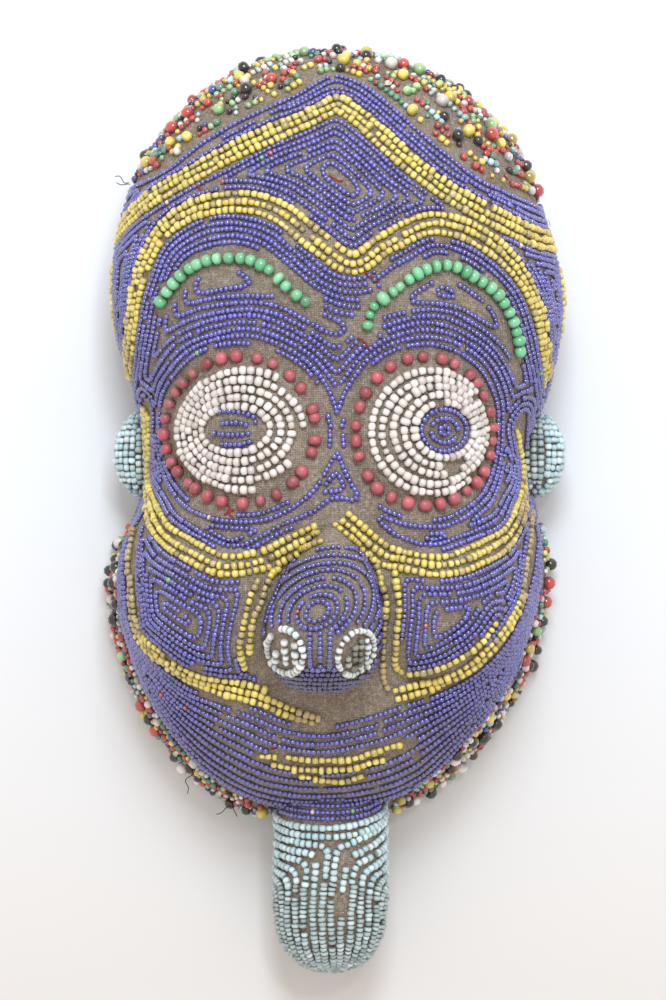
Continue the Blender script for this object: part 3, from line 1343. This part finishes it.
class MASK_OT_brows(bpy.types.Operator):
    """Green brows: one string of large beads over each eye."""
    bl_idname = "mask.brows"
    bl_label = "Green brows"
    bl_options = {"REGISTER", "UNDO"}

    def execute(self, context):
        settings, rng = begin(context, 1)
        [size] = millimetres(settings, "green_bead")
        colour = between(*shades("green"), rng)
        for name, line, count in (("left", LEFT_BROW, 17), ("right", RIGHT_BROW, 23)):
            uv = on_head(spline(line))
            step = line_length(head(uv)) / count
            strings = [string(head, uv, step, rng, jitter=0.08)]
            beads = strung(strings, size, step * 0.99, colour, rng, spread=0.11, lift=0.85)
            if name == "left":
                beads["along"][-1], beads["up"][-1] = beads["up"][-1], beads["along"][-1].copy()
            add_beads(f"eyebrow_{name}_glass", beads, ROUND_BEAD, "green_glass", f"eyebrow_{name}")
        return {"FINISHED"}


def white_row(k, inner, outer, gaps, step, rng):
    """Row k of five ovals of white beads between the inner and the outer one, open where it has a gap."""
    shape = [i + (o - i) * k / 4 for i, o in zip(inner, outer)]
    turns = [(math.radians(start), math.radians(end)) for row, start, end in gaps if row == k]
    start, end = (turns[0][1], turns[0][0] + 2 * math.pi) if turns else (0, 2 * math.pi)
    return string(head, on_head(ellipse(*shape, start, end)), step, rng, not turns, wobble=0.16)


class MASK_OT_eyes(bpy.types.Operator):
    """Eyes: a ring of large red beads, oval rows of white ones and rows of seed beads in the pupil."""
    bl_idname = "mask.eyes"
    bl_label = "Eyes"
    bl_options = {"REGISTER", "UNDO"}

    def execute(self, context):
        settings, rng = begin(context, 2)
        red, white, white_step = millimetres(settings, "red_bead", "white_bead", "white_step")
        blue, blue_step = millimetres(settings, "blue_bead", "blue_step")
        x, y, rx, ry = RIGHT_PUPIL
        left_pupil = [spline(line) for line in PUPIL_ROWS]
        right_pupil = [ellipse(x, y, share * rx, share * ry) for share in (0.92, 0.56, 0.2)]
        sets = (
            ("left", LEFT_RING, 29, LEFT_WHITE, left_pupil),
            ("right", RIGHT_RING, 28, RIGHT_WHITE, right_pupil),
        )
        for side, ring, ring_count, whites, pupil in sets:
            uv = on_head(ellipse(*ring))
            strings = [string(head, uv, line_length(head(uv)) / ring_count, rng, True, jitter=0.10)]
            colour = between(*shades("red"), rng)
            beads = strung(strings, red, red * 0.92, colour, rng, spread=0.10, lift=0.7)
            add_beads(f"eye_ring_{side}_glass", beads, ROUND_BEAD, "red_glass", f"eye_ring_{side}")
            strings = [white_row(k, *whites, white_step, rng) for k in range(5)]
            colour = between(*shades("white"), rng)
            beads = apart(strung(
                strings, white, white_step * 0.97, colour, rng, spread=0.12, lift=0.7, missing=0.012))
            add_beads(f"eye_white_{side}_glass", beads, DRUM, "white_glass", f"eye_white_{side}")
            strings = [string(head, on_head(line), blue_step, rng, wobble=0.15) for line in pupil]
            colour = between(*shades("blue"), rng)
            beads = apart(strung(
                strings, blue, blue_step * 0.97, colour, rng, spread=0.1, lift=0.6, missing=0.03))
            add_beads(f"pupil_{side}_glass", beads, SEED, "blue_glass", f"pupil_{side}")
        return {"FINISHED"}


class MASK_OT_ground(bpy.types.Operator):
    """Blue ground: rows of seed beads along lines of equal distance from the accents and the jaw's edge."""
    bl_idname = "mask.ground"
    bl_label = "Blue ground"
    bl_options = {"REGISTER", "UNDO"}

    def execute(self, context):
        settings, rng = begin(context, 3)
        size, step, pitch, yellow_pitch = millimetres(
            settings, "blue_bead", "blue_step", "blue_pitch", "yellow_pitch")
        strings = ground_strings(pitch, step, yellow_pitch, rng)
        for k in range(5):
            u = np.linspace(-1.45, 1.40, 90)
            v = beard_top(u) - 3.8 - k * pitch
            place, along, up = string(beard, np.stack([u, v], -1), step, rng, wobble=0.1)
            bare = place[:, 2] > head(on_head(place))[:, 2]
            strings.append((place[bare], along[bare], outward_of_beard(place, up)[bare]))
        odd = [((0.10, 0.45, 0.18), 0.0006), ((0.62, 0.06, 0.08), 0.0006), ((0.70, 0.65, 0.62), 0.0008)]
        colour = between(*shades("blue"), rng, odd, 0.6)
        beads = strung(strings, size, step * 0.97, colour, rng, spread=0.09, lift=0.55, missing=0.02)
        beads = with_odd(apart(beads))
        edges = (-1e3, -75, -15, 45, 100, 1e3)
        names = ("chin", "cheeks", "eyes", "brow", "forehead")
        for name, low, high in zip(names, edges, edges[1:]):
            inside = (beads["place"][:, 1] >= low) & (beads["place"][:, 1] < high)
            add_beads(f"ground_{name}", picked(beads, inside), SEED, "blue_glass")
        return {"FINISHED"}


def nose_rows(pitch, step, rng):
    """Blue strings of the nose: ovals on its back, rows at its right edge, columns and rows under its tip."""
    points = nose(disc_grid(130, 130, 1.0))
    x, y = points[..., 0], points[..., 1]
    edge_gap = nearest(points, nose(at_angle(1.0, np.linspace(0, 2 * math.pi, 160))))
    clear = edge_gap.copy()
    for shape in (LEFT_NOSTRIL, RIGHT_NOSTRIL):
        ring = nose(on_nose(ellipse(*shape)))
        clear = np.where(in_ellipse(points, shape), 0, np.minimum(clear, nearest(points, ring)))
    ox, oy, tilt = NOSE_OVAL
    along = (x - ox) * math.cos(tilt) + (y - oy) * math.sin(tilt)
    across = (y - oy) * math.cos(tilt) - (x - ox) * math.sin(tilt)
    oval = np.hypot(along * 0.72, across)
    right = (y > -50) & (edge_gap < np.where(x > 0, 3.1, 1.1) * pitch)
    between_nostrils = (np.abs(x + 5.2) < 6.2) & (y > -67) & (y < -52)
    bands = np.concatenate([laid(spline(line)) for line in (LEFT_CHEEK, RIGHT_CHEEK)])[:, :2]
    gap = np.min([np.hypot(x - bx, y - by) for bx, by in bands[::3]], axis=0)
    right &= gap > 5.6
    back = ~right & ~between_nostrils & (clear > 0.42 * pitch) & (y > -62) & (gap > 5.6)
    under = ~between_nostrils & (clear > 0.45 * pitch) & (y < -63)
    sets = ((back, oval, pitch, 0.3), (right, edge_gap, pitch, 0.5), (under, -62 - y, 0.74 * pitch, 0.5))
    strings = []
    for zone, field, row, first in sets:
        strings += rows_of(nose, np.where(zone, field, np.nan), 1.0, row, step, rng, first)
    for x0 in (-9.4, -5.4, -1.4):
        line = np.stack([np.full(30, x0), np.linspace(-51, -67.5, 30)], -1)
        strings.append(string(nose, on_nose(line), step, rng, wobble=0.1))
    return strings


class MASK_OT_nose(bpy.types.Operator):
    """Nose: rows of seed beads, and two nostrils, each a ring of pale beads with short columns inside."""
    bl_idname = "mask.nose"
    bl_label = "Nose"
    bl_options = {"REGISTER", "UNDO"}

    def execute(self, context):
        settings, rng = begin(context, 4)
        size, step, pitch = millimetres(settings, "blue_bead", "blue_step", "blue_pitch")
        strings = nose_rows(0.98 * pitch, step, rng)
        colour = between(*shades("blue"), rng, (), 0.6)
        beads = apart(strung(
            strings, size, step * 0.97, colour, rng, spread=0.09, lift=0.55, missing=0.02))
        beads["colour"] *= np.where(beads["place"][:, 1] < UNDER_TIP, TIP_DARK, 1.0)[:, None]
        add_beads("ground_nose", with_odd(beads), SEED, "blue_glass")
        size, step = millimetres(settings, "pale_bead", "pale_step")
        colour = between(shades("pale")[1], shades("white")[1], rng)
        a = np.linspace(0, 2 * math.pi, 60)
        sets = (
            ("left", LEFT_NOSTRIL, LEFT_COLUMNS, 1.0, 0.0),
            ("right", RIGHT_NOSTRIL, RIGHT_COLUMNS, 0.86, 1.6),
        )
        for side, (x, y, rx, ry), columns, grain, slant in sets:
            ring = np.stack([x + (rx - 1) * np.cos(a) + slant * np.sin(a), y + (ry - 1) * np.sin(a)], -1)
            strings = [string(nose, on_nose(ring), step * grain * 1.12, rng, True, 0.25)]
            for across, low, high in columns:
                column = np.stack([x + across + 0 * a, y + np.linspace(high, low, 60)], -1)
                strings.append(string(nose, on_nose(column), step * grain * 1.25, rng, wobble=0.3))
            beads = strung(
                strings, size * grain, step * 0.92 * grain, colour, rng, spread=0.12, lift=0.7, missing=0.03)
            inner = (side == "right") & in_ellipse(beads["place"], (x, y, rx - 3.3, ry - 3.0))
            dull = between(*shades("dirty"), rng)(beads["place"])
            beads["colour"] = np.where(inner[:, None], dull, beads["colour"])
            add_beads(
                f"nostril_{side}_glass", apart(beads), DRUM, "pale_blue_glass", f"nostril_beads_{side}")
        return {"FINISHED"}


def outward_of_beard(place, up):
    """The beads' outward directions, turned away from the beard's axis."""
    out = place - np.array([BEARD_X, 0.0, BEARD_UP])
    out[:, 1] = 0
    return up * np.where((up * out).sum(-1, keepdims=True) < 0, -1, 1)


def beard_top(u):
    """Where the beard's first row runs at each angle: higher on the left, higher still on the right."""
    return -0.9 - 1.3 * np.minimum(u, 0) ** 2 - 3.4 * np.maximum(u, 0) ** 2


def beard_strands():
    """Lines on the beard: rows along the jaw, rows that bend down into strands, and strands behind."""
    radius = (BEARD_RADIUS + BEARD_HALF_DEPTH) / 2
    end = BEARD_END
    pitch, row = 4.45, 4.0
    turn = np.linspace(0, math.pi / 2, 12)
    u = np.linspace(-1.75, 1.75, 60)
    lines = [np.stack([u, beard_top(u) + k * row], -1) for k in range(2)]
    for side, slope in ((-1, 0.10), (1, 0.34)):
        for k in range(8):
            across, down, bend = (k + 0.42 + 0.16 * side) * pitch, 7.2 + k * row * 0.92, 4.5 + 0.4 * k
            start = np.linspace(radius * 1.75, across + bend, 20)
            flat = np.stack([start, down - slope * (start - across - bend)], -1)
            curve = np.stack([across + bend * (1 - np.sin(turn)), down + bend * (1 - np.cos(turn))], -1)
            straight = np.linspace(down + bend, end - 1.5, 40)[1:]
            line = np.vstack([flat, curve, np.stack([across + 0 * straight, straight], -1)])
            sway = np.sin(np.clip((line[:, 1] - 12) / (end - 12), 0, 1) * math.pi)
            lines.append(np.stack([(side * line[:, 0] - 2.6 * sway) / radius, line[:, 1]], -1))
    behind = 14
    for k in range(behind):
        u = math.pi / 2 + 0.22 + (math.pi - 0.44) * (k + 0.5) / behind
        v = np.linspace(-12, end - 1.5, 60)
        lines.append(np.stack([u + 0 * v, v], -1))
    return lines


class MASK_OT_beard(bpy.types.Operator):
    """Beard: strands of pale beads on a column with a rounded end, shorter and greyer towards the tip."""
    bl_idname = "mask.beard"
    bl_label = "Beard"
    bl_options = {"REGISTER", "UNDO"}

    def execute(self, context):
        settings, rng = begin(context, 5)
        size, step = millimetres(settings, "pale_bead", "pale_step")
        parts = []
        for long, wide, tone in ((1.0, 1.0, "pale"), (0.68, 1.06, "grey")):
            strings = []
            for k, line in enumerate(beard_strands()):
                edge = 27 + 4 * math.sin(2.4 * k)
                line = line[line[:, 1] < edge + 0.6 if long == 1.0 else line[:, 1] > edge - 0.6]
                made = string(beard, line, step * long, rng, wobble=0.30) if len(line) > 2 else None
                if made:
                    place, along, up = made
                    spot = np.stack([place[:, 0] - BEARD_X, CHIN_Y - place[:, 1]], -1)
                    worn = np.any([in_ellipse(spot, shape) for shape in BARE_BEARD], axis=0)
                    keep = ~worn | (place[:, 2] < BEARD_UP)
                    strings.append((place[keep], along[keep], outward_of_beard(place, up)[keep]))
            colour = between(*shades(tone), rng)
            parts.append(strung(
                strings, size * wide, step * long * 0.97, colour, rng, spread=0.08, lift=0.72, missing=0.005))
        add_beads("beard_glass", apart(joined(*parts), 0.5), DRUM, "pale_blue_glass", "beard_beads")
        return {"FINISHED"}


class MASK_OT_ears(bpy.types.Operator):
    """Ears: strands of pale beads that run over each ear from top to foot, dull next to the face."""
    bl_idname = "mask.ears"
    bl_label = "Ears"
    bl_options = {"REGISTER", "UNDO"}

    def execute(self, context):
        settings, rng = begin(context, 6)
        size, step = millimetres(settings, "pale_bead", "pale_step")
        for side, (cx, cy) in EARS.items():
            strings = []
            for u in np.linspace(-1.95, 1.95, 16):
                v = np.linspace(0.16, math.pi - 0.16, 60)
                place, along, up = string(ear(side), np.stack([u + 0 * v, v], -1), step, rng, wobble=0.15)
                turned = np.sign((up * (place - [cx, cy, EAR_UP])).sum(-1, keepdims=True))
                strings.append((place, along, up * turned))
            colour = between(*shades("pale"), rng)
            beads = strung(
                strings, size * 0.94, step * 0.95, colour, rng, spread=0.10, lift=0.75, missing=0.02)
            inner = np.abs(beads["place"][:, 0]) < abs(cx) + 2.0
            dull = between(*shades("grey"), rng)(beads["place"])
            beads["colour"] = np.where(inner[:, None], dull, beads["colour"])
            add_beads(f"ear_{side}_glass", apart(beads, 0.72), DRUM, "pale_blue_glass", f"ear_beads_{side}")
        return {"FINISHED"}


def assortment(strings, rng, big, missing):
    """Beads of many sizes and colours, of which the share big is large; the large ones come first."""
    strings = [s for s in strings if s is not None]
    place, along, up = (np.concatenate([s[k] for s in strings]) for k in range(3))
    count = len(place)
    kind = rng.random(count)
    size = np.where(kind < big, rng.uniform(4.9, 6.4, count), rng.uniform(2.2, 3.3, count))
    size = np.where((kind >= big) & (kind < big + 0.10), rng.uniform(3.5, 4.6, count), size)
    large = assorted(rng, 2)(place)
    colour = np.where((size > 4.8)[:, None], large, assorted(rng, 1)(place))
    order = np.argsort(-size, kind="stable")
    keep = (rng.random(count) >= missing) | (size > 4.8)
    beads = {
        "place": place + up * (size * 0.34)[:, None],
        "along": unit(along + rng.normal(0, 0.2, (count, 3))),
        "up": up,
        "size": size,
        "length": size * rng.uniform(0.78, 1.0, count),
        "colour": colour,
    }
    return apart(picked(picked(beads, order), keep[order]), 0.84)


def add_assortment(name, beads, node):
    """One piece of small and large beads that stands for this CAD node."""
    large = beads["size"] > 3.5
    parts = [bead_mesh(picked(beads, large), ROUND_BEAD), bead_mesh(picked(beads, ~large), DRUM)]
    corners, quads = merged(*(part[:2] for part in parts))
    colour, grime = (np.concatenate([part[k] for part in parts]) for k in (2, 3))
    piece = add_mesh(name, corners, quads, glass("mixed_glass"), colour, grime)
    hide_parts(node)


class MASK_OT_hair(bpy.types.Operator):
    """Hair: an assortment of beads in rows from the hairline over the crown to the rim."""
    bl_idname = "mask.hair"
    bl_label = "Hair"
    bl_options = {"REGISTER", "UNDO"}

    def execute(self, context):
        settings, rng = begin(context, 7)
        [pitch] = millimetres(settings, "hair_pitch")
        points = head(disc_grid(*ROW_GRID, HEAD_REACH))
        gap = nearest(points, laid(spline(HAIR_LINE)))
        field = np.where(beyond(HAIR_LINE, points) & (points[..., 2] > CLOTH_EDGE + 1.5), gap, np.nan)
        strings = rows_of(head, field, HEAD_REACH, pitch, 3.1, rng, 0.6, 0.35)
        add_assortment("hair_glass", assortment(strings, rng, 0.055, 0.36), "hair_beads")
        return {"FINISHED"}


class MASK_OT_fringe(bpy.types.Operator):
    """Fringes: an assortment of beads along both sides of the jaw, thin at the upper right."""
    bl_idname = "mask.fringe"
    bl_label = "Jaw fringes"
    bl_options = {"REGISTER", "UNDO"}

    def execute(self, context):
        _, rng = begin(context, 8)
        points = head(disc_grid(*ROW_GRID, HEAD_REACH))
        x, y, z = points[..., 0], points[..., 1], points[..., 2]
        clear = (np.abs(x - BEARD_X) > BEARD_RADIUS + 4) | (y > CHIN_Y + 8)
        for side, line in (("left", LEFT_EDGE), ("right", RIGHT_EDGE)):
            zone = beyond(line, points) & (z > CLOTH_EDGE + 1.5) & clear
            gap = np.where(zone, nearest(points, laid(spline(line))), np.nan)
            strings = rows_of(head, gap, HEAD_REACH, 3.6, 3.0, rng, 0.45, 0.3)
            beads = assortment(strings, rng, 0.06, 0.08)
            place = beads["place"]
            spare = (place[:, 0] > 0) & (place[:, 1] > -52) & (rng.random(len(place)) < 0.38)
            add_assortment(f"jaw_fringe_{side}_glass", picked(beads, ~spare), f"jaw_fringe_{side}")
        return {"FINISHED"}


def tube(points, radius, sides=5, steps=6):
    """Corners and quads of a thread through these points, closed at both ends."""
    p = np.asarray(points, float)
    count = (len(p) - 1) * steps + 1
    t = np.linspace(0, len(p) - 1, count)
    line = np.stack([np.interp(t, np.arange(len(p)), p[:, k]) for k in range(3)], -1)
    line = smoothed(line, 6)
    along = unit(np.gradient(line, axis=0))
    side = unit(np.cross(along, [0.3, 0.2, 1.0]))
    up = np.cross(side, along)
    thin = radius * np.where((np.arange(count) == 0) | (np.arange(count) == count - 1), 0.35, 1.0)
    a = (np.arange(sides) + 0.5) * 2 * math.pi / sides
    rings = line[:, None] + thin[:, None, None] * (
        side[:, None] * np.cos(a)[None, :, None] + up[:, None] * np.sin(a)[None, :, None])
    rings = np.concatenate([line[:1, None] + 0 * rings[:1], rings, line[-1:, None] + 0 * rings[:1]])
    rings = np.concatenate([rings, rings[:, :1]], axis=1)
    return rings.reshape(-1, 3), sheet_quads(count + 2, sides + 1)


class MASK_OT_threads(bpy.types.Operator):
    """Loose ends: red, dark and white bits of thread that stand out of the cloth."""
    bl_idname = "mask.threads"
    bl_label = "Threads"
    bl_options = {"REGISTER", "UNDO"}

    def execute(self, context):
        _, rng = begin(context, 9)
        for name, colour, radius in THREAD_KINDS:
            parts = []
            for x, y, angle, length, lift in THREADS[name]:
                t = np.linspace(0, 1, 5)
                bend = rng.normal(0, 0.10 * length, 5)
                px = x + length * t * math.cos(angle) - bend * math.sin(angle)
                py = y + length * t * math.sin(angle) + bend * math.cos(angle)
                foot = head(on_head(np.stack([px, py], -1)))[:, 2]
                height = np.where(lift > 0, foot + 0.4 + lift * np.sin(t * math.pi), foot[0] + lift * t)
                parts.append(tube(np.stack([px, py, height], -1), radius))
            corners, quads = merged(*parts)
            material = plain_material(f"{name} thread", colour, 0.8)
            piece = add_mesh(f"threads_{name}", corners, quads, material)
        return {"FINISHED"}


# Each lamp's place, what it looks at, and its width, in metres
LAMPS = {
    "key": ((0.04, 0.66, 1.08), (0, 0.16, 0.05), 0.38),
    "top": ((0.26, 0.44, 1.45), (0, 0.02, 0.05), 0.12),
}
LAMP_COLOUR = (0.82, 0.92, 1.0)
SKY_COLOUR = (1.0, 0.937, 0.870, 1)


class MASK_OT_stage(bpy.types.Operator):
    """Pale floor, two lamps beyond the crown, light from all round, and a camera straight above."""
    bl_idname = "mask.stage"
    bl_label = "Stage"
    bl_options = {"REGISTER", "UNDO"}

    def execute(self, context):
        settings = context.scene.mask_stage
        scene = context.scene
        bpy.ops.mesh.primitive_plane_add(size=8, location=(0, 0, -0.0002))
        floor = context.object
        floor.name = "floor"
        floor.data.materials.append(floor_material())
        key = self.lamp("key", settings.key_power)
        top = self.lamp("top", settings.top_power)
        camera = bpy.data.objects.new("camera", bpy.data.cameras.new("camera"))
        scene.collection.objects.link(camera)
        camera.data.lens = settings.lens
        camera.data.sensor_width = 36
        camera.data.clip_start, camera.data.clip_end = 0.05, 20
        camera.location = (SHIFT[0] / 1000, settings.camera_forward, settings.camera_height)
        scene.camera = camera
        world = bpy.data.worlds.new("sky")
        world.use_nodes = True
        background = world.node_tree.nodes["Background"]
        background.inputs["Color"].default_value = SKY_COLOUR
        background.inputs["Strength"].default_value = settings.sky
        scene.world = world
        scene.view_settings.view_transform = "Standard"
        return {"FINISHED"}

    def lamp(self, name, power):
        """One of the square lamps, turned to its aim."""
        place, aim, width = LAMPS[name]
        data = bpy.data.lights.new(name, "AREA")
        data.size, data.energy = width, power
        data.color = LAMP_COLOUR
        lamp = bpy.data.objects.new(name, data)
        bpy.context.scene.collection.objects.link(lamp)
        lamp.location = place
        lamp.rotation_euler = (Vector(aim) - Vector(place)).to_track_quat("-Z", "Y").to_euler()
        return lamp


class MASK_PT_panel(bpy.types.Panel):
    """Settings and steps of the mask."""
    bl_idname = "MASK_PT_panel"
    bl_label = "Beaded mask"
    bl_space_type = "VIEW_3D"
    bl_region_type = "UI"
    bl_category = "Mask"

    def draw(self, context):
        layout = self.layout
        for settings in (context.scene.mask_beads, context.scene.mask_colours, context.scene.mask_stage):
            column = layout.column()
            for name in settings.__annotations__:
                column.prop(settings, name)
        for step in STEPS:
            layout.operator(step.bl_idname)


STEPS = (
    MASK_OT_cloth, MASK_OT_wood, MASK_OT_bands, MASK_OT_brows, MASK_OT_eyes, MASK_OT_ground, MASK_OT_nose,
    MASK_OT_beard, MASK_OT_ears, MASK_OT_hair, MASK_OT_fringe, MASK_OT_threads, MASK_OT_stage,
)
CLASSES = (BeadSettings, ColourSettings, StageSettings, *STEPS, MASK_PT_panel)


def register():
    """Registers the classes and the scene's settings."""
    for one in CLASSES:
        bpy.utils.register_class(one)
    bpy.types.Scene.mask_beads = bpy.props.PointerProperty(type=BeadSettings)
    bpy.types.Scene.mask_colours = bpy.props.PointerProperty(type=ColourSettings)
    bpy.types.Scene.mask_stage = bpy.props.PointerProperty(type=StageSettings)


def unregister():
    """Takes them away again."""
    del bpy.types.Scene.mask_beads
    del bpy.types.Scene.mask_colours
    del bpy.types.Scene.mask_stage
    for one in reversed(CLASSES):
        bpy.utils.unregister_class(one)


def main():
    """Builds every piece and the stage."""
    register()
    for step in STEPS:
        group, name = step.bl_idname.split(".")
        getattr(getattr(bpy.ops, group), name)()


if __name__ == "__main__":
    main()
